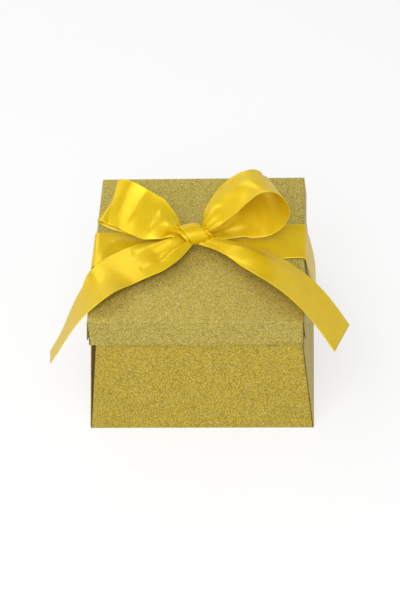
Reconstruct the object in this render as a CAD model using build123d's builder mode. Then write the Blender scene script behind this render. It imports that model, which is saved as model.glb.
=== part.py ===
"""Gold card favor box: a tapered tray, a lift-off lid and a satin ribbon tied in a bow on the lid.

Millimetres, +Z up, +X to the right and +Y to the back, origin at the centre of the tray's underside.
Tray and lid are each folded from one sheet of card; every panel and glue tab is its own solid.
"""

import os
from math import atan, cos, radians, sin, tan

from build123d import *

# Card and glue
CARD = 0.4  # thickness of the glitter card
GLUE = 0.05  # glue line or fold gap between two card faces
FOLD_RADIUS = 0.3  # outside radius of a creased fold
CORNER_EASE = 0.15  # how much rounder the lid's corners are than its folds

# Overall sizes
LID_SIZE = 64.2  # outside width and depth of the lid
FOOT_SPREAD = 5.2  # how much wider the tray's foot is than the lid
BOX_HEIGHT = 44.0  # from the table to the top of the lid

# Tray
FRONT_INSET = 0.25  # each side of the front panel stops this far inside the corner at its foot
CORNER_SLIT = 0.65  # how much wider the slit beside the front panel gets towards the rim
FRONT_SHIFT = 0.8  # the front panel was glued this far to the right at its rim
TAB_LENGTH = 11.0  # glue tab at each tray corner
TAB_FOOT = 4.0  # height of the tab's lower end up the wall
TAB_HEAD = 5.0  # distance of the tab's upper end below the rim
TAB_SPLAY = 3.0  # slant of the tab's two ends

# Lid
SKIRT_DEPTH = 8.6  # from the top of the lid to the lower edge of its skirts
LID_CLEARANCE = 0.3  # between the tray walls and the lid's corner tabs
LID_REST = 0.02  # between the lid and the tray's rim
SKIRT_INSET = 0.15  # the front skirt stops this far inside the lid's corner at the fold
SIDE_SKIRT_RISE = 1.6  # the side skirts end this far above the front one's lower edge
LID_TAB_LENGTH = 9.0
LID_TAB_RELIEF = 1.2  # the tab is this much shorter than the skirt at its top and foot

# Ribbon
RIBBON_WIDTH = 15.0
RIBBON_THICK = 0.25
RIBBON_GAP = 0.12  # between the ribbon and what it lies on
GATHERED = 0.36  # share of the ribbon's width left where the knot gathers it
BAND_SKEW = 1.3  # the right half of the band lies this far back, the left half as far forward
BAND_FLARE = 15.0  # distance from the knot over which the band fans out to its full width
BAND_EASE = 0.35  # how far the band stands off the lid's edge
LEFT_BAND_HANG = 0.9  # how far the band's left half hangs below the side skirt before it turns in
LEFT_BAND_SLACK = 0.7  # how far it stands off the skirt there
RIGHT_BAND_HANG = 14.6
RIGHT_BAND_SLACK = 1.45
TURN_IN = 5.0  # length of ribbon turned up and glued inside the side skirt

# Bow
KNOT_X = -1.0
KNOT_Y = 0.8
KNOT_WIDTH = 6.6
KNOT_DEPTH = 6.4
KNOT_HEIGHT = 5.0
KNOT_RADIUS = 1.5
KNOT_LIFT = 1.5  # underside of the knot above the lid
LAYER_STEP = 0.95  # height between ribbon layers where they enter the knot
LEFT_LOOP_REACH = 23.0  # from the knot to the outer fold of the left loop
LEFT_LOOP_BACK = 9.5  # how far that fold lies behind the knot
LEFT_LOOP_RISE = 5.6
RIGHT_LOOP_REACH = 22.5
RIGHT_LOOP_BACK = 7.6
RIGHT_LOOP_RISE = 15.6  # from the lower run of the open right loop to its top
LEFT_TAIL_EDGE = 1.0  # the left tail starts to bend down this far inside the lid's edge
LEFT_TAIL_OVERHANG = 13.2  # how far its end stands out past that place
LEFT_TAIL_DROP = 15.7  # how far that end hangs below the top of the lid
LEFT_TAIL_CROSS = 19.6  # how far in front of the knot the tail crosses the lid's left edge
RIGHT_TAIL_EDGE = 3.0  # the right tail starts to sink this far inside the lid's edge
RIGHT_TAIL_OVERHANG = 15.5
RIGHT_TAIL_DROP = 2.7
RIGHT_TAIL_CROSS = 18.7
RIGHT_TAIL_LIFT = 1.3  # how much higher than the left tail the right one floats
TAIL_FLOAT = 1.9  # height of the tails' middle line above the lid
TAIL_CUT = 4.0  # slant of each tail's cut end, from its middle to its corner
LOOP_SECTION_COUNT = 19  # cross-sections along each loop
TAIL_SECTION_COUNT = 10  # cross-sections along each tail

# Places that follow from the sizes above
half_lid = LID_SIZE / 2
half_base = half_lid + FOOT_SPREAD / 2
lid_underside = BOX_HEIGHT - CARD
skirt_foot = BOX_HEIGHT - SKIRT_DEPTH
rim_half = half_lid - 2 * CARD - GLUE - LID_CLEARANCE  # outside of the tray's rim, inside skirt and tab
lean = atan((half_base - rim_half) / lid_underside)  # of the tray's walls and of the lid's skirts
wall_length = (lid_underside - LID_REST) / cos(lean)
wall_start = CARD * tan(lean)  # the wall's inner foot then stands on the table
side_foot = skirt_foot + SIDE_SKIRT_RISE
skirt_length = (lid_underside - skirt_foot) / cos(lean)
side_skirt_length = (lid_underside - side_foot) / cos(lean)
fold = min(FOLD_RADIUS, 0.8 * CARD)

os.makedirs("parts", exist_ok=True)


def finish(piece, name):
    """Labels a finished piece and writes its STEP file."""
    piece.part.label = name
    export_step(piece.part, f"parts/{name}.step")


def leaning_plane(facing, reach, height, inward):
    """Plane that leans like the walls, X along the panel, Y up it and Z outwards.

    facing is the panel's compass angle in degrees; inward moves the plane into the box."""
    out_x = cos(radians(facing))
    out_y = sin(radians(facing))
    normal = Vector(out_x * cos(lean), out_y * cos(lean), sin(lean))
    origin = Vector(out_x * reach, out_y * reach, height) - normal * inward
    return Plane(origin=origin, x_dir=(-out_y, out_x, 0), z_dir=normal)


def wall_plane(facing, inward=0.0):
    """Plane of a tray wall with its origin on the table."""
    return leaning_plane(facing, half_base, 0, inward)


def skirt_plane(facing, inward=0.0):
    """Plane of a lid skirt with its origin on the fold under the lid's top."""
    return leaning_plane(facing, half_lid, lid_underside, inward)


def tapered_panel(plane, low, high, low_half, high_half, shift=0.0):
    """Card panel on a plane: a trapezoid between two heights, one card thick inwards.

    shift moves its upper edge sideways."""
    with BuildPart() as panel:
        with BuildSketch(plane):
            with BuildLine():
                Polyline(
                    (-low_half, low),
                    (low_half, low),
                    (high_half + shift, high),
                    (shift - high_half, high),
                    close=True,
                )
            make_face()
        extrude(amount=-CARD)
    return panel


# Tray floor, creased to the four walls
floor_half = half_base - CARD / cos(lean) - CARD * tan(lean) - GLUE
with BuildPart() as tray_floor:
    Box(2 * floor_half, 2 * floor_half, CARD, align=(Align.CENTER, Align.CENTER, Align.MIN))
finish(tray_floor, "tray_floor")

# Front and back walls: free-edged panels that cover the corner tabs
for name, facing, shift in (("front", -90, FRONT_SHIFT), ("back", 90, 0)):
    foot_half = half_base - FRONT_INSET
    head_half = foot_half - wall_length * sin(lean) - CORNER_SLIT
    wall = tapered_panel(wall_plane(facing), wall_start, wall_length, foot_half, head_half, shift)
    with wall:
        foot_edge = wall.edges().filter_by(Axis.X).group_by(Axis.Z)[1]
        fillet(foot_edge, radius=fold)
    finish(wall, f"tray_{name}_wall")

# Side walls, which end behind the front and back walls and fold there into the tabs
side_foot_half = half_base - CARD / cos(lean) - GLUE
side_head_half = side_foot_half - wall_length * sin(lean)
for name, facing, outer in (("left", 180, 0), ("right", 0, -1)):
    wall = tapered_panel(wall_plane(facing), wall_start, wall_length, side_foot_half, side_head_half)
    with wall:
        outer_face = wall.faces().sort_by(SortBy.AREA)[-2:].sort_by(Axis.X)[outer]
        folded_edges = outer_face.edges().sort_by(Axis.Z)[:3]
        fillet(folded_edges, radius=fold)
    finish(wall, f"tray_{name}_wall")


def tray_tab(facing, side):
    """Glue tab behind a front or back wall, folded from the side wall on that side (+1 or -1)."""
    low = TAB_FOOT
    high = wall_length - TAB_HEAD
    root = half_base - CARD / cos(lean) - GLUE
    with BuildPart() as tab:
        with BuildSketch(wall_plane(facing, CARD + GLUE)):
            with BuildLine():
                low_root = root - low * sin(lean)
                high_root = root - high * sin(lean)
                Polyline(
                    (side * low_root, low),
                    (side * high_root, high),
                    (side * (high_root - TAB_LENGTH), high - TAB_SPLAY),
                    (side * (low_root - TAB_LENGTH), low + TAB_SPLAY),
                    close=True,
                )
            make_face()
        extrude(amount=-CARD)
    return tab


def lid_tab(facing, side):
    """Glue tab behind a front or back skirt, folded from the side skirt on that side (+1 or -1)."""
    high = -GLUE
    low = LID_TAB_RELIEF - side_skirt_length
    root = half_lid - CARD / cos(lean) - GLUE
    with BuildPart() as tab:
        with BuildSketch(skirt_plane(facing, CARD + GLUE)):
            with BuildLine():
                low_root = root - low * sin(lean)
                high_root = root - high * sin(lean)
                Polyline(
                    (side * high_root, high),
                    (side * low_root, low),
                    (side * (low_root - LID_TAB_LENGTH), low + LID_TAB_RELIEF),
                    (side * (high_root - LID_TAB_LENGTH), high - LID_TAB_RELIEF),
                    close=True,
                )
            make_face()
        extrude(amount=-CARD)
    return tab


# Corner tabs of tray and lid; a plane that faces back runs from right to left
for end, facing in (("front", -90), ("back", 90)):
    for side, sign in (("left", -1), ("right", 1)):
        along = sign if end == "front" else -sign
        finish(tray_tab(facing, along), f"tray_tab_{end}_{side}")
        finish(lid_tab(facing, along), f"lid_tab_{end}_{side}")

# Lid top, with the rounded folds of its four creased edges
with BuildPart() as lid_top:
    with BuildSketch(Plane.XY.offset(lid_underside)):
        RectangleRounded(LID_SIZE, LID_SIZE, fold + CORNER_EASE)
    extrude(amount=CARD)
    fillet(lid_top.faces().sort_by(Axis.Z)[-1].edges(), radius=fold)
finish(lid_top, "lid_top")

# Front and back skirts: straight-sided flaps that cover the lid's corner tabs
for name, facing in (("front", -90), ("back", 90)):
    flap_half = half_lid - SKIRT_INSET
    finish(tapered_panel(skirt_plane(facing), -skirt_length, 0, flap_half, flap_half), f"lid_{name}_skirt")

# Side skirts, wider at the foot, rounded where they fold into the corner tabs
side_fold_half = half_lid - CARD / cos(lean) - GLUE
side_low_half = side_fold_half + side_skirt_length * sin(lean)
for name, facing, outer in (("left", 180, 0), ("right", 0, -1)):
    skirt = tapered_panel(skirt_plane(facing), -side_skirt_length, 0, side_low_half, side_fold_half)
    with skirt:
        outer_face = skirt.faces().sort_by(SortBy.AREA)[-2:].sort_by(Axis.X)[outer]
        corner_edges = outer_face.edges().sort_by(Axis.Z)[1:3]
        fillet(corner_edges, radius=fold)
    finish(skirt, f"lid_{name}_skirt")

# Knot: the short wrap of ribbon that gathers the bow
knot_foot = BOX_HEIGHT + KNOT_LIFT
knot_left = KNOT_X - KNOT_WIDTH / 2
knot_right = KNOT_X + KNOT_WIDTH / 2
with BuildPart() as knot:
    with Locations((KNOT_X, KNOT_Y, knot_foot)):
        Box(KNOT_WIDTH, KNOT_DEPTH, KNOT_HEIGHT, align=(Align.CENTER, Align.CENTER, Align.MIN))
    fillet(knot.edges(), radius=KNOT_RADIUS)
finish(knot, "bow_knot")


def layer(number):
    """Height at which a ribbon layer enters the knot, counted from the band at 0."""
    return knot_foot + KNOT_RADIUS / 2 + number * LAYER_STEP


def skirt_inside(height):
    """Distance from the middle of the box to the ribbon glued inside a side skirt."""
    behind = (CARD + GLUE + RIBBON_THICK / 2) / cos(lean)
    return half_lid + (lid_underside - height) * tan(lean) - behind


def band(sign, hang, slack):
    """Half of the band: from the knot over the lid's edge, down its side and turned in under the skirt.

    hang is how far it drops below the skirt, slack how far it stands off there."""
    on_lid = BOX_HEIGHT + RIBBON_GAP + RIBBON_THICK / 2
    turn = side_foot - hang
    end = side_foot + TURN_IN
    start = (knot_left if sign < 0 else knot_right) + sign * RIBBON_GAP
    fan_end = start + sign * BAND_FLARE
    middle = KNOT_Y + sign * BAND_SKEW
    reach = (lid_underside - turn) * tan(lean) + slack
    bend = 0.4 * (half_lid + reach - skirt_inside(turn))

    def hanging_point(share):
        """Point on the hanging side, which bows out, at a share of its drop."""
        return (sign * (half_lid + reach * sin(radians(90 * share))), on_lid + share * (turn - on_lid))

    with BuildPart() as half:
        with BuildSketch(Plane(origin=(0, middle, 0), x_dir=(1, 0, 0), z_dir=(0, -1, 0))):
            with BuildLine() as run:
                FilletPolyline(
                    (fan_end, on_lid),
                    (sign * (half_lid + BAND_EASE), on_lid),
                    hanging_point(0.35),
                    hanging_point(0.7),
                    hanging_point(1),
                    (sign * skirt_inside(turn), turn),
                    (sign * skirt_inside(end), end),
                    radius=[2 * RIBBON_THICK, SKIRT_DEPTH / 2, SKIRT_DEPTH / 2, bend, bend],
                )
            trace(run.line, line_width=RIBBON_THICK)
        extrude(amount=RIBBON_WIDTH / 2, both=True)
        with BuildSketch(Plane(origin=(fan_end, middle, on_lid), x_dir=(0, 1, 0), z_dir=(sign, 0, 0))):
            Rectangle(RIBBON_WIDTH, RIBBON_THICK)
        with BuildSketch(Plane(origin=(start, KNOT_Y, layer(0)), x_dir=(0, 1, 0), z_dir=(sign, 0, 0))):
            Rectangle(RIBBON_WIDTH * GATHERED, RIBBON_THICK)
        loft(ruled=True)
    return half


def strip(points, across, shares, sections, cut=0.0):
    """Ribbon that follows points from the knot, with its width along the across directions.

    shares gives the part of the full width at each point: under 1 where the ribbon is gathered.
    A ribbon with a slanted cut is a tail; one without returns to the knot."""
    centre = Spline(*points)
    marks = [0.0]
    for here, there in zip(points, points[1:]):
        marks.append(marks[-1] + (Vector(*there) - Vector(*here)).length)
    with BuildPart() as ribbon:
        for index in range(sections):
            along = index / (sections - 1)
            far = sum(1 for mark in marks[1:-1] if mark < along * marks[-1]) + 1
            blend = (along * marks[-1] - marks[far - 1]) / (marks[far] - marks[far - 1])
            way = Vector(*across[far - 1]) * (1 - blend) + Vector(*across[far]) * blend
            width = RIBBON_WIDTH * (shares[far - 1] * (1 - blend) + shares[far] * blend)
            tangent = centre % along
            last = index == sections - 1
            if index == 0 or (last and cut == 0):
                tangent = Vector(1 if tangent.X > 0 else -1, 0, 0)
            section = Plane(origin=centre @ along, x_dir=way, z_dir=tangent)
            if last and cut > 0:
                slant = section.x_dir * (width / 2) + section.z_dir * cut
                section = Plane(origin=centre @ along, x_dir=slant, z_dir=slant.cross(section.y_dir))
                width = 2 * slant.length
            with BuildSketch(section):
                Rectangle(width, RIBBON_THICK)
        loft(ruled=True)
    return ribbon


finish(band(-1, LEFT_BAND_HANG, LEFT_BAND_SLACK), "ribbon_band_left")
finish(band(1, RIGHT_BAND_HANG, RIGHT_BAND_SLACK), "ribbon_band_right")


# Left loop: leaves the knot on top, folds over behind the left edge of the lid and returns below
left_mouth = knot_left - RIBBON_GAP


def left_loop_point(reach, back, height):
    """Point on the left loop as shares of its reach and set-back, at a height."""
    return (left_mouth - reach * LEFT_LOOP_REACH, KNOT_Y + back * LEFT_LOOP_BACK, height)


loop_left = strip(
    [
        left_loop_point(0, 0, layer(3)),
        left_loop_point(0.23, 0.2, layer(3) + 0.48 * LEFT_LOOP_RISE),
        left_loop_point(0.54, 0.53, layer(3) + 0.9 * LEFT_LOOP_RISE),
        left_loop_point(0.84, 0.86, layer(3) + LEFT_LOOP_RISE),
        left_loop_point(1, 1.04, layer(3) + 0.78 * LEFT_LOOP_RISE),
        left_loop_point(0.87, 1.08, layer(3) + 0.4 * LEFT_LOOP_RISE),
        left_loop_point(0.45, 0.66, layer(2) + 0.18 * LEFT_LOOP_RISE),
        left_loop_point(0, 0, layer(2)),
    ],
    [
        (0, 1, 0),
        (0.15, 1, 0.4),
        (0.35, 0.85, 0.45),
        (0.45, 0.7, 0.5),
        (0.46, 0.68, 0.5),
        (0.46, 0.68, 0.5),
        (0.3, 1, 0.35),
        (0, 1, 0),
    ],
    [GATHERED, 0.6, 0.95, 1, 1, 1, 0.8, GATHERED],
    LOOP_SECTION_COUNT,
)
finish(loop_left, "bow_loop_left")

# Right loop: stands open, from its lower run round the outer end and back over the top
right_mouth = knot_right + RIBBON_GAP


def right_loop_point(reach, back, rise):
    """Point on the right loop as shares of its reach, set-back and rise."""
    height = layer(2) + rise * RIGHT_LOOP_RISE
    return (right_mouth + reach * RIGHT_LOOP_REACH, KNOT_Y + back * RIGHT_LOOP_BACK, height)


leaning = (-0.42, 0.87, -0.25)
loop_right = strip(
    [
        right_loop_point(0, 0, 0),
        right_loop_point(0.31, 0.62, 0.01),
        right_loop_point(0.53, 0.95, 0.01),
        right_loop_point(0.73, 0.95, 0.06),
        right_loop_point(0.9, 0.97, 0.27),
        right_loop_point(0.96, 1.03, 0.74),
        right_loop_point(0.8, 1, 1),
        right_loop_point(0.47, 0.92, 0.79),
        right_loop_point(0.26, 0.66, 0.54),
        (right_mouth, KNOT_Y, layer(3)),
    ],
    [
        (0, 1, 0),
        (-0.1, 1, 0),
        (-0.25, 0.95, -0.08),
        (-0.36, 0.9, -0.18),
        leaning,
        leaning,
        leaning,
        (-0.36, 0.92, -0.1),
        (-0.24, 0.95, 0.15),
        (0, 1, 0),
    ],
    [GATHERED, 0.7, 0.97, 1, 1, 1, 1, 0.9, 0.7, GATHERED],
    LOOP_SECTION_COUNT,
)
finish(loop_right, "bow_loop_right")

# Left tail: lies forward across the lid, then bends down over its left edge
left_run = half_lid - LEFT_TAIL_EDGE + left_mouth


def left_tail_point(run, height):
    """Point on the left tail's way across the lid, as a share of the way to its bend."""
    return (left_mouth - run * left_run, KNOT_Y - run * LEFT_TAIL_CROSS, height)


def left_hang_point(share):
    """Place of a point on the left tail past its bend."""
    out = half_lid - LEFT_TAIL_EDGE + share * LEFT_TAIL_OVERHANG
    return (-out, KNOT_Y - LEFT_TAIL_CROSS - share * LEFT_TAIL_OVERHANG * 1.05)


tail_left = strip(
    [
        left_tail_point(0, layer(1)),
        left_tail_point(0.33, BOX_HEIGHT + 1.16 * TAIL_FLOAT),
        left_tail_point(0.7, BOX_HEIGHT + TAIL_FLOAT),
        left_tail_point(1, BOX_HEIGHT + 0.74 * TAIL_FLOAT),
        (*left_hang_point(0.33), BOX_HEIGHT - 0.19 * LEFT_TAIL_DROP),
        (*left_hang_point(0.68), BOX_HEIGHT - 0.6 * LEFT_TAIL_DROP),
        (*left_hang_point(1), BOX_HEIGHT - LEFT_TAIL_DROP),
    ],
    [
        (0, -1, 0),
        (0.55, -0.8, 0.05),
        (0.57, -0.8, 0.1),
        (0.5, -0.8, 0.3),
        (0.35, -0.8, 0.5),
        (0.29, -0.8, 0.51),
        (0.29, -0.8, 0.51),
    ],
    [GATHERED, 0.75, 1, 1, 1, 1, 1],
    TAIL_SECTION_COUNT,
    TAIL_CUT,
)
finish(tail_left, "bow_tail_left")

# Right tail: runs forward to the right with its front edge raised and stands out past the lid
right_run = half_lid - RIGHT_TAIL_EDGE - right_mouth
right_middle = BOX_HEIGHT + TAIL_FLOAT


def right_tail_point(run, forward, lift):
    """Point on the right tail's way across the lid, as shares of its run, its crossing and its lift."""
    height = right_middle + lift * RIGHT_TAIL_LIFT
    return (right_mouth + run * right_run, KNOT_Y - forward * RIGHT_TAIL_CROSS, height)


def right_hang_point(share):
    """Place of a point on the right tail where it sinks past the lid's edge."""
    out = half_lid - RIGHT_TAIL_EDGE + share * RIGHT_TAIL_OVERHANG
    return (out, KNOT_Y - RIGHT_TAIL_CROSS - share * RIGHT_TAIL_OVERHANG * 1.14)


raised = (-0.26, -0.92, 0.29)
tail_right = strip(
    [
        (right_mouth, KNOT_Y, layer(1)),
        right_tail_point(0.29, 0.24, 0.77),
        right_tail_point(0.55, 0.48, 1),
        right_tail_point(0.78, 0.71, 1.08),
        right_tail_point(1, 1.02, 0.85),
        (*right_hang_point(0.5), BOX_HEIGHT + 0.54 * RIGHT_TAIL_LIFT),
        (*right_hang_point(1), BOX_HEIGHT - RIGHT_TAIL_DROP),
    ],
    [(0, -1, 0), (-0.3, -0.9, 0.15), (-0.28, -0.9, 0.28), raised, raised, raised, raised],
    [GATHERED, 0.7, 0.95, 1, 1, 1, 1],
    TAIL_SECTION_COUNT,
    TAIL_CUT,
)
finish(tail_right, "bow_tail_right")
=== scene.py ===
from math import cos, pi, radians, sin

import bmesh
import bpy
import numpy as np
from mathutils import Matrix, Vector


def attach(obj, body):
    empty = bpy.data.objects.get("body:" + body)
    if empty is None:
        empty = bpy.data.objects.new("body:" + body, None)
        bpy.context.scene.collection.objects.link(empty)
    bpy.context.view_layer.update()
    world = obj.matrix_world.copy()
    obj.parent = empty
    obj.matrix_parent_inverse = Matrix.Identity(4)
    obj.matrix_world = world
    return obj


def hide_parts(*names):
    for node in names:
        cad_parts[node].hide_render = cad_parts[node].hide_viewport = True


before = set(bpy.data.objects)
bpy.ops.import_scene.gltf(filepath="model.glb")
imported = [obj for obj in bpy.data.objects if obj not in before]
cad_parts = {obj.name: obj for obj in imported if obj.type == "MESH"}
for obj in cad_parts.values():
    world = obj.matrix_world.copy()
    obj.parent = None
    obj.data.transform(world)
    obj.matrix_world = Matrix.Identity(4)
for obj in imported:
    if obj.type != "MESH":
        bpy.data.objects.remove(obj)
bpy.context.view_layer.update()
scene = bpy.context.scene
scene.view_settings.view_transform = "Standard"

# Camera: looks down on the box from the front, a little from its right and slightly tilted,
# with a long lens, as the photograph was taken. The frame is 400 by 600.
camera_pitch = radians(44.9)
camera_heading = radians(5.1)
camera_tilt = radians(-3.96)
camera_distance = 0.5947
camera_target = Vector((-0.0009, 0.0, 0.02138))
view_camera = bpy.data.objects.new("view_camera", bpy.data.cameras.new("view_camera"))
scene.collection.objects.link(view_camera)
view_camera.data.sensor_fit = "VERTICAL"
view_camera.data.sensor_height = 36.0
view_camera.data.lens = 113.46
view_camera.data.clip_start = 0.01
view_camera.matrix_world = (
    Matrix.Translation(camera_target)
    @ Matrix.Rotation(camera_heading, 4, "Z")
    @ Matrix.Rotation(pi / 2 - camera_pitch, 4, "X")
    @ Matrix.Rotation(camera_tilt, 4, "Z")
    @ Matrix.Translation((0, 0, camera_distance))
)
scene.camera = view_camera

# Studio: a broad soft key nearly above the camera, a small lamp behind the box that flat satin
# mirrors, and weak lamps from the right and the left. The pale surround darkens upwards, and the
# white floor keeps only a faint shadow.
box_middle = Vector((0, 0, 0.03))


def soft_lamp(name, place, size, power):
    """Square area lamp aimed at the box."""
    lamp = bpy.data.objects.new(name, bpy.data.lights.new(name, "AREA"))
    lamp.data.size = size
    lamp.data.energy = power
    lamp.location = place
    lamp.rotation_euler = (box_middle - lamp.location).to_track_quat("-Z", "Y").to_euler()
    scene.collection.objects.link(lamp)


soft_lamp("key_lamp", Vector((-0.06, -0.32, 0.44)), size=0.4, power=1.84)
soft_lamp("back_lamp", Vector((-0.28, 0.42, 0.5)), size=0.2, power=0.55)
soft_lamp("fill_lamp", Vector((0.55, -0.45, 0.45)), size=0.5, power=0.45)
soft_lamp("left_lamp", Vector((-0.5, 0.05, 0.3)), size=0.3, power=0.35)


def seen_or_mirrored(tree):
    """One for rays from the camera, straight or by way of a shiny surface, and zero for the rest."""
    rays = tree.nodes.new("ShaderNodeLightPath")
    mirrored = tree.nodes.new("ShaderNodeMath")
    mirrored.operation = "MAXIMUM"
    tree.links.new(rays.outputs["Is Glossy Ray"], mirrored.inputs[0])
    tree.links.new(rays.outputs["Is Transmission Ray"], mirrored.inputs[1])
    seen = tree.nodes.new("ShaderNodeMath")
    seen.operation = "MAXIMUM"
    tree.links.new(rays.outputs["Is Camera Ray"], seen.inputs[0])
    tree.links.new(mirrored.outputs[0], seen.inputs[1])
    return seen.outputs[0]


surround = bpy.data.worlds.new("surround")
scene.world = surround
surround.use_nodes = True
nodes, links = surround.node_tree.nodes, surround.node_tree.links
toward = nodes.new("ShaderNodeTexCoord")
upward = nodes.new("ShaderNodeSeparateXYZ")
links.new(toward.outputs["Generated"], upward.inputs["Vector"])
backdrop = nodes.new("ShaderNodeMapRange")
backdrop.inputs["From Min"].default_value = 0.2
backdrop.inputs["From Max"].default_value = 0.65
backdrop.inputs["To Min"].default_value = 0.965
backdrop.inputs["To Max"].default_value = 0.3
links.new(upward.outputs["Z"], backdrop.inputs["Value"])
level = nodes.new("ShaderNodeMapRange")
level.inputs["To Min"].default_value = 0.5
links.new(backdrop.outputs[0], level.inputs["To Max"])
links.new(seen_or_mirrored(surround.node_tree), level.inputs["Value"])
links.new(level.outputs[0], nodes["Background"].inputs["Strength"])
nodes["Background"].inputs["Color"].default_value = (1, 1, 1, 1)

floor_mesh = bmesh.new()
bmesh.ops.create_grid(floor_mesh, x_segments=1, y_segments=1, size=3.0)
studio_floor = bpy.data.objects.new("studio_floor", bpy.data.meshes.new("studio_floor"))
floor_mesh.to_mesh(studio_floor.data)
floor_mesh.free()
scene.collection.objects.link(studio_floor)
floor_paper = bpy.data.materials.new("floor_paper")
floor_paper.use_nodes = True
nodes, links = floor_paper.node_tree.nodes, floor_paper.node_tree.links
body = nodes["Principled BSDF"]
body.inputs["Base Color"].default_value = (0.3, 0.3, 0.3, 1)
body.inputs["Roughness"].default_value = 1.0
body.inputs["Specular IOR Level"].default_value = 0.0
body.inputs["Emission Color"].default_value = (1, 1, 1, 1)
glow = nodes.new("ShaderNodeMath")
glow.operation = "MULTIPLY"
glow.inputs[1].default_value = 0.68
links.new(seen_or_mirrored(floor_paper.node_tree), glow.inputs[0])
links.new(glow.outputs[0], body.inputs["Emission Strength"])
studio_floor.data.materials.append(floor_paper)

# Tray: a truncated pyramid folded from one sheet of gold glitter card, with glue tabs behind the
# front and back walls. Flakes of metallised film coat the outside. Darker gold along the creases is
# painted shadow, and a dark line along the panels' free edges is painted shade. The inside is plain
# card.
flakes = bpy.data.node_groups.new("glitter_flakes", "ShaderNodeTree")
flakes.interface.new_socket("Flakes per metre", in_out="INPUT", socket_type="NodeSocketFloat")
flakes.interface.new_socket("Tilt", in_out="INPUT", socket_type="NodeSocketFloat")
flakes.interface.new_socket("Gold", in_out="INPUT", socket_type="NodeSocketColor")
flakes.interface.new_socket("Colour", in_out="OUTPUT", socket_type="NodeSocketColor")
flakes.interface.new_socket("Roughness", in_out="OUTPUT", socket_type="NodeSocketFloat")
flakes.interface.new_socket("Normal", in_out="OUTPUT", socket_type="NodeSocketVector")
nodes, links = flakes.nodes, flakes.links
given = nodes.new("NodeGroupInput")
result = nodes.new("NodeGroupOutput")
place = nodes.new("ShaderNodeTexCoord")
flake = nodes.new("ShaderNodeTexVoronoi")
links.new(place.outputs["Object"], flake.inputs["Vector"])
links.new(given.outputs["Flakes per metre"], flake.inputs["Scale"])
channel = nodes.new("ShaderNodeSeparateColor")
links.new(flake.outputs["Color"], channel.inputs["Color"])
drift = nodes.new("ShaderNodeTexNoise")
drift.inputs["Scale"].default_value = 160
drift.inputs["Detail"].default_value = 3
links.new(place.outputs["Object"], drift.inputs["Vector"])
patch = nodes.new("ShaderNodeMapRange")
patch.inputs["From Min"].default_value = 0.25
patch.inputs["From Max"].default_value = 0.75
patch.inputs["To Min"].default_value = 0.97
patch.inputs["To Max"].default_value = 1.03
links.new(drift.outputs["Fac"], patch.inputs["Value"])
shade = nodes.new("ShaderNodeMapRange")
shade.inputs["To Min"].default_value = 0.4
shade.inputs["To Max"].default_value = 1.6
links.new(channel.outputs["Red"], shade.inputs["Value"])
strength = nodes.new("ShaderNodeMath")
strength.operation = "MULTIPLY"
links.new(patch.outputs[0], strength.inputs[0])
links.new(shade.outputs[0], strength.inputs[1])
toned = nodes.new("ShaderNodeHueSaturation")
links.new(strength.outputs[0], toned.inputs["Value"])
links.new(given.outputs["Gold"], toned.inputs["Color"])
# Painted glints: a few flakes, picked at random, get a pale gold colour that stands in for light
# glinting off them.
painted_glint = nodes.new("ShaderNodeMapRange")
painted_glint.inputs["From Min"].default_value = 0.9
painted_glint.inputs["From Max"].default_value = 0.98
painted_glint.inputs["To Max"].default_value = 0.7
links.new(channel.outputs["Green"], painted_glint.inputs["Value"])
glint_mix = nodes.new("ShaderNodeMix")
glint_mix.data_type = "RGBA"
glint_mix.inputs["B"].default_value = (0.9, 0.82, 0.42, 1)
links.new(painted_glint.outputs[0], glint_mix.inputs["Factor"])
links.new(toned.outputs["Color"], glint_mix.inputs["A"])
links.new(glint_mix.outputs["Result"], result.inputs["Colour"])
dull = nodes.new("ShaderNodeMapRange")
dull.inputs["To Min"].default_value = 0.35
dull.inputs["To Max"].default_value = 0.6
links.new(channel.outputs["Blue"], dull.inputs["Value"])
links.new(dull.outputs[0], result.inputs["Roughness"])
lean = nodes.new("ShaderNodeVectorMath")
lean.operation = "SUBTRACT"
lean.inputs[1].default_value = (0.5, 0.5, 0.5)
links.new(flake.outputs["Color"], lean.inputs[0])
leant = nodes.new("ShaderNodeVectorMath")
leant.operation = "SCALE"
links.new(lean.outputs[0], leant.inputs[0])
links.new(given.outputs["Tilt"], leant.inputs["Scale"])
surface = nodes.new("ShaderNodeNewGeometry")
turned = nodes.new("ShaderNodeVectorMath")
turned.operation = "ADD"
links.new(surface.outputs["Normal"], turned.inputs[0])
links.new(leant.outputs[0], turned.inputs[1])
flake_normal = nodes.new("ShaderNodeVectorMath")
flake_normal.operation = "NORMALIZE"
links.new(turned.outputs[0], flake_normal.inputs[0])
links.new(flake_normal.outputs[0], result.inputs["Normal"])
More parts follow.
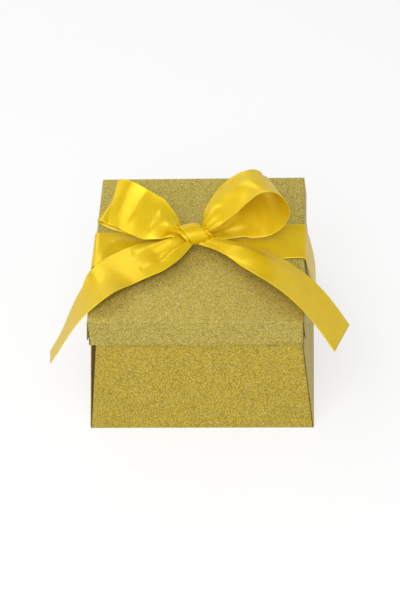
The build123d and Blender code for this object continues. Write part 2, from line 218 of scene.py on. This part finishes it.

# The free edges run straight up a panel, each from its own foot at floor level with its own lean.
# The mask marks a thin line along them for painted shade.
edge_shade_group = bpy.data.node_groups.new("painted_edge_shade", "ShaderNodeTree")
for socket in ("Left foot", "Left lean", "Right foot", "Right lean"):
    edge_shade_group.interface.new_socket(socket, in_out="INPUT", socket_type="NodeSocketFloat")
edge_shade_group.interface.new_socket("Mask", in_out="OUTPUT", socket_type="NodeSocketFloat")
nodes, links = edge_shade_group.nodes, edge_shade_group.links
given = nodes.new("NodeGroupInput")
result = nodes.new("NodeGroupOutput")
place = nodes.new("ShaderNodeTexCoord")
spot = nodes.new("ShaderNodeSeparateXYZ")
links.new(place.outputs["Object"], spot.inputs["Vector"])
nearest = nodes.new("ShaderNodeMath")
nearest.operation = "MINIMUM"
for index, side in enumerate(("Left", "Right")):
    edge = nodes.new("ShaderNodeMath")
    edge.operation = "MULTIPLY_ADD"
    links.new(spot.outputs["Z"], edge.inputs[0])
    links.new(given.outputs[f"{side} lean"], edge.inputs[1])
    links.new(given.outputs[f"{side} foot"], edge.inputs[2])
    apart = nodes.new("ShaderNodeMath")
    apart.operation = "SUBTRACT"
    links.new(spot.outputs["X"], apart.inputs[0])
    links.new(edge.outputs[0], apart.inputs[1])
    inward = nodes.new("ShaderNodeMath")
    inward.operation = "ABSOLUTE"
    links.new(apart.outputs[0], inward.inputs[0])
    links.new(inward.outputs[0], nearest.inputs[index])
edge_shade = nodes.new("ShaderNodeMapRange")
edge_shade.inputs["From Min"].default_value = 0.0001
edge_shade.inputs["From Max"].default_value = 0.0004
edge_shade.inputs["To Min"].default_value = 0.85
edge_shade.inputs["To Max"].default_value = 0
links.new(nearest.outputs[0], edge_shade.inputs["Value"])
links.new(edge_shade.outputs[0], result.inputs["Mask"])


def side_edges(name):
    """Where a panel's left and right edges start at floor level and how they lean."""
    rim = 0.001
    corners = [v.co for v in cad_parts[name].data.vertices]
    low, high = min(c.z for c in corners), max(c.z for c in corners)
    edges = []
    for outermost in (min, max):
        foot = outermost(c.x for c in corners if c.z < low + rim)
        head = outermost(c.x for c in corners if c.z > high - rim)
        lean = (head - foot) / (high - low)
        edges += [foot - lean * low, lean]
    return edges


def glitter(name, gold, panel=None):
    """Card coated with fine gold glitter, with a thin dark line of painted shade along a named
    panel's free edges.
    """
    card = bpy.data.materials.new(name)
    card.use_nodes = True
    nodes, links = card.node_tree.nodes, card.node_tree.links
    coat = nodes.new("ShaderNodeGroup")
    coat.node_tree = flakes
    coat.inputs["Flakes per metre"].default_value = 6000
    coat.inputs["Tilt"].default_value = 0.35
    coat.inputs["Gold"].default_value = (*gold, 1)
    colour = coat.outputs["Colour"]
    if panel:
        edges = nodes.new("ShaderNodeGroup")
        edges.node_tree = edge_shade_group
        for socket, value in zip(edges.inputs, side_edges(panel)):
            socket.default_value = value
        # Painted shade: a thin near-black line along the free edges stands in for the shadow in the
        # slits beside them.
        edge_shaded = nodes.new("ShaderNodeMix")
        edge_shaded.data_type = "RGBA"
        edge_shaded.inputs["B"].default_value = (0.06, 0.04, 0.01, 1)
        links.new(edges.outputs["Mask"], edge_shaded.inputs["Factor"])
        links.new(colour, edge_shaded.inputs["A"])
        colour = edge_shaded.outputs["Result"]
    body = nodes["Principled BSDF"]
    body.inputs["Metallic"].default_value = 0.35
    body.inputs["Specular IOR Level"].default_value = 0.05
    links.new(colour, body.inputs["Base Color"])
    links.new(coat.outputs["Roughness"], body.inputs["Roughness"])
    links.new(coat.outputs["Normal"], body.inputs["Normal"])
    return card


def fibre_card(name, pale, dark, pitch):
    """Uncoated card: short pulp fibres in two close shades with a slight tooth."""
    card = bpy.data.materials.new(name)
    card.use_nodes = True
    nodes, links = card.node_tree.nodes, card.node_tree.links
    body = nodes["Principled BSDF"]
    place = nodes.new("ShaderNodeTexCoord")
    fibre = nodes.new("ShaderNodeTexNoise")
    fibre.inputs["Scale"].default_value = pitch
    fibre.inputs["Detail"].default_value = 6
    fibre.inputs["Distortion"].default_value = 1.5
    links.new(place.outputs["Object"], fibre.inputs["Vector"])
    shade = nodes.new("ShaderNodeValToRGB")
    shade.color_ramp.elements[0].position = 0.35
    shade.color_ramp.elements[0].color = (*dark, 1)
    shade.color_ramp.elements[1].position = 0.65
    shade.color_ramp.elements[1].color = (*pale, 1)
    links.new(fibre.outputs["Fac"], shade.inputs["Fac"])
    links.new(shade.outputs["Color"], body.inputs["Base Color"])
    tooth = nodes.new("ShaderNodeBump")
    tooth.inputs["Strength"].default_value = 0.25
    tooth.inputs["Distance"].default_value = 0.0001
    links.new(fibre.outputs["Fac"], tooth.inputs["Height"])
    links.new(tooth.outputs["Normal"], body.inputs["Normal"])
    body.inputs["Roughness"].default_value = 0.85
    return card


card_back = fibre_card("plain_card_back", (0.8, 0.75, 0.63), (0.7, 0.64, 0.51), pitch=900)
# Dark raw card edges: partly the card's own core and partly painted shade for the shadow along the
# edges and under the skirts.
cut_edge_and_shade = fibre_card("cut_card_edge_and_shade", (0.12, 0.085, 0.025), (0.06, 0.04, 0.012), pitch=2500)
# Painted shade: the tabs' outer faces are dark brown instead of glitter and stand in for the shadow
# seen down the corner slits.
tab_shade = fibre_card("tab_face_painted_shade", (0.13, 0.08, 0.012), (0.08, 0.045, 0.006), pitch=1800)


def dress_panel(name, outward, outside, crease=None):
    """One finish on a panel's outer face, plain card behind, and its creases or raw cut edges;
    darker creases are painted shade, and dark cut edges are raw card deepened with painted shade.
    """
    outer_from = 0.95 if crease else 0.2
    inner_from = -0.5
    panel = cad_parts[name]
    panel.data.materials.clear()
    for finish in (outside, card_back, crease or cut_edge_and_shade):
        panel.data.materials.append(finish)
    for face in panel.data.polygons:
        facing = face.normal.dot(Vector(outward))
        face.material_index = 0 if facing > outer_from else 1 if facing < inner_from else 2


tray_gold = (0.535, 0.395, 0.051)
tray_glitter = glitter("tray_gold_glitter", tray_gold)
# Painted shadow: the folds at the foot get a much darker gold that stands in for the contact shadow
# there.
tray_foot_shadow = glitter("tray_crease_painted_shadow", (0.22, 0.16, 0.025))
sides = {"front": (0, -1, 0), "back": (0, 1, 0), "left": (-1, 0, 0), "right": (1, 0, 0)}
dress_panel("tray_floor", (0, 0, -1), tray_glitter, crease=tray_foot_shadow)
for side in ("left", "right"):
    dress_panel(f"tray_{side}_wall", sides[side], tray_glitter)
for end in ("front", "back"):
    wall = f"tray_{end}_wall"
    dress_panel(wall, sides[end], glitter(f"{wall}_glitter", tray_gold, panel=wall))
    for side in ("left", "right"):
        dress_panel(f"tray_tab_{end}_{side}", sides[end], tab_shade)

# Lid: a square top with four short flared skirts, folded from the same card and glued at its
# corners. A narrow dark slit shows at each end of the front and back skirts, darkened by painted
# shade on the tab behind it. The folds carry a darker gold of painted shade.
lid_gold = (0.51, 0.405, 0.085)
lid_glitter = glitter("lid_gold_glitter", lid_gold)
# Painted shade: the lid's folds get a darker gold that damps the light their rounded faces catch.
lid_fold_shade = glitter("lid_fold_painted_shade", (0.41, 0.325, 0.07))
dress_panel("lid_top", (0, 0, 1), lid_glitter, crease=lid_fold_shade)
for side in ("left", "right"):
    dress_panel(f"lid_{side}_skirt", sides[side], lid_glitter)
for end in ("front", "back"):
    skirt = f"lid_{end}_skirt"
    dress_panel(skirt, sides[end], glitter(f"{skirt}_glitter", lid_gold, panel=skirt))
    for side in ("left", "right"):
        dress_panel(f"lid_tab_{end}_{side}", sides[end], tab_shade)

# Ribbon band: 15 mm double-faced satin, woven from shiny yellow yarn with a firmer selvedge along
# both edges, coloured lighter yellow partly as painted sheen. It runs over the lid, hangs over its
# sides and is turned in under the side skirts.
ribbon_width = 0.015
ribbon_thickness = 0.0002

satin = bpy.data.materials.new("yellow_satin")
satin.use_nodes = True
nodes, links = satin.node_tree.nodes, satin.node_tree.links
body = nodes["Principled BSDF"]
flat = nodes.new("ShaderNodeUVMap")
flat.uv_map = "flat"
yarn = nodes.new("ShaderNodeTexWave")
yarn.bands_direction = "X"
yarn.inputs["Scale"].default_value = 1100
yarn.inputs["Distortion"].default_value = 1.2
yarn.inputs["Detail"].default_value = 2
links.new(flat.outputs["UV"], yarn.inputs["Vector"])
cloud = nodes.new("ShaderNodeTexNoise")
cloud.inputs["Scale"].default_value = 220
cloud.inputs["Detail"].default_value = 4
links.new(flat.outputs["UV"], cloud.inputs["Vector"])
tone = nodes.new("ShaderNodeValToRGB")
tone.color_ramp.elements[0].position = 0.3
tone.color_ramp.elements[0].color = (0.74, 0.495, 0.004, 1)
tone.color_ramp.elements[1].position = 0.7
tone.color_ramp.elements[1].color = (0.8, 0.555, 0.007, 1)
links.new(cloud.outputs["Fac"], tone.inputs["Fac"])
across_flat = nodes.new("ShaderNodeSeparateXYZ")
links.new(flat.outputs["UV"], across_flat.inputs["Vector"])
from_middle = nodes.new("ShaderNodeMath")
from_middle.operation = "ABSOLUTE"
links.new(across_flat.outputs["X"], from_middle.inputs[0])
# The selvedge: a thin lighter-yellow strip along each edge, partly its firmer weave and partly
# painted sheen.
selvedge_and_sheen = nodes.new("ShaderNodeMapRange")
selvedge_and_sheen.inputs["From Min"].default_value = 0.0070
selvedge_and_sheen.inputs["From Max"].default_value = 0.0072
links.new(from_middle.outputs[0], selvedge_and_sheen.inputs["Value"])
edged_with_sheen = nodes.new("ShaderNodeMix")
edged_with_sheen.data_type = "RGBA"
edged_with_sheen.inputs["B"].default_value = (0.83, 0.62, 0.015, 1)
links.new(selvedge_and_sheen.outputs[0], edged_with_sheen.inputs["Factor"])
links.new(tone.outputs["Color"], edged_with_sheen.inputs["A"])
links.new(edged_with_sheen.outputs["Result"], body.inputs["Base Color"])
gloss = nodes.new("ShaderNodeMapRange")
gloss.inputs["To Min"].default_value = 0.3
gloss.inputs["To Max"].default_value = 0.4
links.new(cloud.outputs["Fac"], gloss.inputs["Value"])
links.new(gloss.outputs[0], body.inputs["Roughness"])
thread = nodes.new("ShaderNodeBump")
thread.inputs["Strength"].default_value = 0.1
thread.inputs["Distance"].default_value = 0.00005
links.new(yarn.outputs["Fac"], thread.inputs["Height"])
links.new(thread.outputs["Normal"], body.inputs["Normal"])
lie = nodes.new("ShaderNodeTangent")
lie.direction_type = "UV_MAP"
lie.uv_map = "flat"
links.new(lie.outputs["Tangent"], body.inputs["Tangent"])
body.inputs["Anisotropic"].default_value = 0.5
body.inputs["Metallic"].default_value = 0.3
body.inputs["Specular IOR Level"].default_value = 0.5
body.inputs["Specular Tint"].default_value = (1.0, 0.97, 0.6, 1)
body.inputs["Sheen Weight"].default_value = 0.05
body.inputs["Sheen Tint"].default_value = (1.0, 0.8, 0.2, 1)


def smooth_between(marks, values, runs):
    """Values at some lengths along a route, on a natural cubic curve through those at its marks."""
    count = len(marks)
    gaps = np.diff(marks)
    slopes = np.diff(values, axis=0) / gaps[:, None]
    system = np.eye(count)
    bends = np.zeros_like(values)
    for i in range(1, count - 1):
        system[i, i - 1 : i + 2] = gaps[i - 1], 2 * (gaps[i - 1] + gaps[i]), gaps[i]
        bends[i] = 6 * (slopes[i] - slopes[i - 1])
    curve = np.linalg.solve(system, bends)
    i = np.clip(np.searchsorted(marks, runs) - 1, 0, count - 2)
    gap = gaps[i][:, None]
    left, right = (runs - marks[i])[:, None], (marks[i + 1] - runs)[:, None]
    bowed = curve[i] * right**3 + curve[i + 1] * left**3
    return (
        bowed / (6 * gap)
        + (values[i] / gap - curve[i] * gap / 6) * right
        + (values[i + 1] / gap - curve[i + 1] * gap / 6) * left
    )


def pleated(width_share, left, pleats, phase, fullness):
    """Height of the pleats in a gathered width, flattened and finely creased where it is tight."""
    tight_from, tight_over, pressed = 0.6, 0.3, 0.6
    crease_height, creases, crease_shift = 0.0003, 3.5, 1
    depth = ribbon_width * left * np.sqrt(1 / left - 1) / (pi * pleats)
    wave = np.cos(2 * pi * pleats * width_share + phase) - cos(phase) * cos(pi * pleats)
    tight = np.clip((tight_from - left) / tight_over, 0, 1)
    fine = crease_height * tight * np.cos(2 * pi * creases * width_share + crease_shift)
    return fullness * depth * wave * (1 - pressed * tight) + fine


def tucked(width_share, tucks):
    """Sideways place and height of a width folded out and back from its middle, slightly crowned."""
    fold_radius, crown = 0.00025, 25
    past = np.abs(width_share) * ribbon_width
    sideways, height, outward = np.zeros_like(past), np.zeros_like(past), 1
    for run_length in tucks:
        straight = np.clip(past, 0, run_length / 1000)
        bend = np.clip((past - straight) / fold_radius, 0, pi)
        sideways += outward * (straight + fold_radius * np.sin(bend))
        height -= fold_radius * (1 - np.cos(bend))
        past = np.maximum(past - straight - bend * fold_radius, 0)
        outward = -outward
    sideways = np.sign(width_share) * (sideways + outward * past)
    return sideways, height - crown * sideways**2


def lay_ribbon(
    name, stations, pleats=1.0, phase=pi, fullness=1.0, dents=(), cut=0.0, tucks=(), steps=96
):
    """Lays a flat strip of ribbon along a route.

    A station is a point in millimetres, the way the ribbon's width points there and the share of
    its width that is left where it is gathered. What gathering takes up stands in pleats. A dent
    is a soft hollow: its place along and across, its reach both ways and its depth in millimetres.
    The cut slants the far end by so many millimetres at each edge. Tucks are the lengths of the
    runs, out and back in turn, that the width is folded into from its middle."""
    narrowest, nudge = 0.15, 1e-5
    columns = 140 if tucks else 48
    points = np.array([s[0] for s in stations], float) / 1000
    ways = np.array([s[1] for s in stations], float)
    ways /= np.linalg.norm(ways, axis=1)[:, None]
    shares = np.array([s[2] for s in stations], float)
    marks = np.concatenate([[0], np.cumsum(np.linalg.norm(np.diff(points, axis=0), axis=1))])
    route_length = float(marks[-1])
    strip = bmesh.new()
    strip.loops.layers.uv.new("flat")
    bmesh.ops.create_grid(strip, x_segments=columns, y_segments=steps, size=0.5, calc_uvs=True)
    strip.verts.ensure_lookup_table()
    flat = np.array([v.co for v in strip.verts])
    width_share, run = flat[:, 0], (flat[:, 1] + 0.5) * route_length
    run = run + cut / 1000 * 2 * width_share * (run / route_length) ** 3
    centre = smooth_between(marks, points, run)
    tangent = smooth_between(marks, points, run + nudge) - smooth_between(marks, points, run - nudge)
    tangent /= np.linalg.norm(tangent, axis=1)[:, None]
    way = smooth_between(marks, ways, run)
    way -= (way * tangent).sum(1)[:, None] * tangent
    way /= np.linalg.norm(way, axis=1)[:, None]
    normal = np.cross(tangent, way)
    if tucks:
        sideways, height = tucked(width_share, tucks)
    else:
        left = np.clip(np.interp(run, marks, shares), narrowest, 1)
        sideways = ribbon_width * left * width_share
        height = pleated(width_share, left, pleats, phase, fullness)
    for along, across, reach, spread, hollow in dents:
        far = ((run / route_length - along) / reach) ** 2 + ((width_share - across) / spread) ** 2
        height -= hollow / 1000 * np.exp(-far)
    place = centre + way * sideways[:, None] + normal * height[:, None]
    for vertex, spot in zip(strip.verts, place):
        vertex.co = spot
    layer = strip.loops.layers.uv["flat"]
    for face in strip.faces:
        for corner in face.loops:
            u, v = corner[layer].uv
            corner[layer].uv = ((u - 0.5) * ribbon_width, v * route_length)
        face.smooth = True
    ribbon = bpy.data.objects.new(name, bpy.data.meshes.new(name))
    strip.to_mesh(ribbon.data)
    strip.free()
    scene.collection.objects.link(ribbon)
    ribbon.data.materials.append(satin)
    cloth = ribbon.modifiers.new("cloth_thickness", "SOLIDIFY")
    cloth.thickness = ribbon_thickness
    cloth.offset = 0.0
    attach(ribbon, "lid")
    return ribbon, route_length


across_band = (0, 1, 0)
left_band_y = -0.9
left_overhang = [
    (-27.0, 44.35), (-30.8, 44.5), (-32.2, 44.2), (-32.7, 42.6), (-33.1, 40.2), (-33.4, 37.8),
    (-33.2, 36.3), (-32.75, 35.9), (-32.3, 36.3), (-32.1, 37.5), (-31.7, 41.8),
]
stations = [
    ((-2.6, 0.8, 46.6), across_band, 0.3),
    ((-9.4, 0.0, 45.4), across_band, 0.66),
    ((-18.0, -0.8, 44.5), across_band, 0.97),
]
stations += [((x, left_band_y, z), across_band, 1) for x, z in left_overhang]
dents = [
    (0.5, 0.15, 0.06, 0.2, 0.5),
    (0.6, -0.3, 0.06, 0.25, 0.6),
    (0.42, -0.1, 0.05, 0.2, -0.3),
]
band, length = lay_ribbon(
    "ribbon_band_left_satin", stations, pleats=2.5, phase=0, fullness=0.6, dents=dents, steps=160
)
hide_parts("ribbon_band_left")

right_band_y = 2.1
right_overhang = [
    (27.0, 44.4), (30.8, 44.6), (32.2, 44.2), (32.75, 42.5), (33.3, 39.8), (34.4, 34.0),
    (35.15, 28.5), (35.35, 24.5), (35.0, 22.4), (34.3, 21.8), (33.6, 22.5), (33.2, 24.5),
    (32.35, 34.0), (31.7, 41.8),
]
stations = [
    ((0.6, 0.8, 46.6), across_band, 0.3),
    ((7.4, 1.4, 45.4), across_band, 0.66),
    ((16.4, 2.0, 44.5), across_band, 0.97),
]
stations += [((x, right_band_y, z), across_band, 1) for x, z in right_overhang]
band, length = lay_ribbon(
    "ribbon_band_right_satin", stations, pleats=2.5, phase=0, fullness=0.6, steps=220
)
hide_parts("ribbon_band_right")

# Bow knot: a short length of the same ribbon wrapped once, tight and slantwise, round the middle
# of the bow, with both its edges tucked under in folds so that one smooth narrow panel shows.
knot_middle = Vector((-2.3, 1.2, 48.5))
knot_across = Vector((0.95, 0.312, 0))
knot_forward = Vector((0.312, -0.95, 0))
knot_reach, knot_rise, knot_slide, knot_steps = 3.6, 3.1, 1.3, 16
stations = []
for step in range(knot_steps + 1):
    turn = 2 * pi * (step / knot_steps - 0.5)
    spot = knot_middle + knot_across * knot_slide * turn
    spot += knot_forward * knot_reach * sin(turn) + Vector((0, 0, knot_rise * cos(turn)))
    stations.append((tuple(spot), tuple(knot_across), 1))
knot, length = lay_ribbon("bow_knot_satin", stations, tucks=(2.3, 0.8, 1.7))
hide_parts("bow_knot")

# Bow loops: the left one lies back and is nearly flat, the right one stands open. Each leaves the
# knot gathered in pleats that fan out and die away towards its outer fold.
lying_back = (0.44, 0.7, 0.55)
stations = [
    ((-2.4, 1.2, 48.3), (0, 1, 0.3), 0.22),
    ((-5.4, 1.8, 48.5), (-0.05, 0.85, 0.5), 0.24),
    ((-7.2, 2.2, 49.8), (-0.1, 0.7, 0.7), 0.38),
    ((-9.6, 2.9, 50.9), (0.07, 0.8, 0.6), 0.64),
    ((-13.6, 4.5, 51.9), (0.12, 0.85, 0.51), 0.95),
    ((-19.6, 7.4, 53.3), (0.25, 0.8, 0.54), 1),
    ((-24.9, 10.0, 54.0), lying_back, 1),
    ((-27.0, 11.0, 53.1), lying_back, 1),
    ((-24.8, 10.5, 51.9), lying_back, 1),
    ((-14.0, 6.4, 49.2), (0.3, 1, 0.35), 0.8),
    ((-5.6, 1.9, 48.4), (0.05, 1, 0.1), 0.26),
    ((-2.4, 1.0, 48.2), (0, 1, 0), 0.22),
]
dents = [(0.37, 0.3, 0.06, 0.35, -0.6), (0.31, -0.2, 0.07, 0.35, -0.5)]
loop, length = lay_ribbon("bow_loop_left_satin", stations, fullness=0.6, dents=dents, steps=160)
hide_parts("bow_loop_left")

stations = [
    ((0.4, 0.9, 48.0), (0, 1, 0.1), 0.25),
    ((3.4, 1.9, 48.4), (0, 1, 0.3), 0.36),
    ((9.2, 4.9, 49.4), (-0.1, 0.9, 0.4), 0.72),
    ((14.2, 7.0, 50.3), (-0.2, 0.88, 0.42), 0.97),
    ((18.9, 7.6, 50.6), (-0.32, 0.85, 0.36), 1),
    ((22.9, 7.9, 53.2), (-0.42, 0.87, 0.2), 1),
    ((24.3, 8.5, 58.8), (-0.42, 0.87, 0), 1),
    ((20.4, 8.3, 62.9), (-0.42, 0.87, -0.25), 1),
    ((13.0, 7.8, 60.5), (-0.3, 0.95, 0), 0.9),
    ((9.0, 6.4, 57.4), (-0.26, 0.92, 0.31), 0.76),
    ((5.4, 4.4, 54.0), (-0.16, 0.79, 0.55), 0.52),
    ((3.1, 2.9, 51.7), (-0.05, 0.75, 0.6), 0.38),
    ((1.6, 2.2, 49.6), (0, 0.85, 0.5), 0.26),
    ((0.4, 1.6, 48.5), (0, 1, 0.2), 0.25),
]
dents = [
    (0.86, 0.2, 0.06, 0.13, 0.8),
    (0.87, -0.12, 0.05, 0.1, -0.6),
    (0.7, 0.0, 0.06, 0.4, 0.4),
]
loop, length = lay_ribbon("bow_loop_right_satin", stations, fullness=0.45, dents=dents, steps=160)
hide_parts("bow_loop_right")

# Bow tails: the ribbon's free ends, drawn out of the knot. The left one bends down over the lid's
# edge; the right one lies forward, front edge raised, and ends in a slanting cut past the lid.
stations = [
    ((-2.6, 0.6, 47.7), (0.5, -0.85, 0), 0.3),
    ((-5.2, -2.0, 47.7), (0.58, -0.81, -0.05), 0.46),
    ((-8.3, -4.2, 47.4), (0.5, -0.87, 0), 0.7),
    ((-13.0, -6.8, 47.0), (0.4, -0.9, 0), 0.93),
    ((-18.6, -9.2, 46.4), (0.35, -0.93, 0.0), 1),
    ((-24.4, -12.6, 45.8), (0.45, -0.88, 0.05), 1),
    ((-29.7, -18.5, 45.4), (0.48, -0.8, 0.28), 1),
    ((-35.4, -23.2, 41.0), (0.35, -0.8, 0.5), 1),
    ((-40.2, -28.2, 34.7), (0.16, -0.85, 0.5), 1),
    ((-44.3, -32.1, 29.6), (0.1, -0.87, 0.48), 1),
]
dents = [(0.2, 0.15, 0.03, 0.16, 0.9), (0.3, 0.0, 0.1, 0.5, -0.5)]
tail, length = lay_ribbon("bow_tail_left_satin", stations, pleats=2, fullness=0.75, dents=dents)
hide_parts("bow_tail_left")

raised = (-0.26, -0.92, 0.29)
stations = [
    ((0.2, 0.2, 47.2), (-0.25, -1, 0), 0.25),
    ((3.0, -0.6, 47.1), (-0.25, -1, 0.05), 0.28),
    ((10.2, -4.0, 47.2), (-0.3, -0.9, 0.1), 0.45),
    ((17.0, -8.7, 47.4), (-0.28, -0.9, 0.2), 0.78),
    ((22.8, -13.0, 47.4), raised, 0.98),
    ((28.8, -18.4, 47.0), raised, 1),
    ((36.6, -27.0, 44.7), raised, 1),
    ((43.1, -35.9, 41.1), raised, 1),
]
tail, length = lay_ribbon("bow_tail_right_satin", stations, fullness=0.5, cut=4.0)
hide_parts("bow_tail_right")
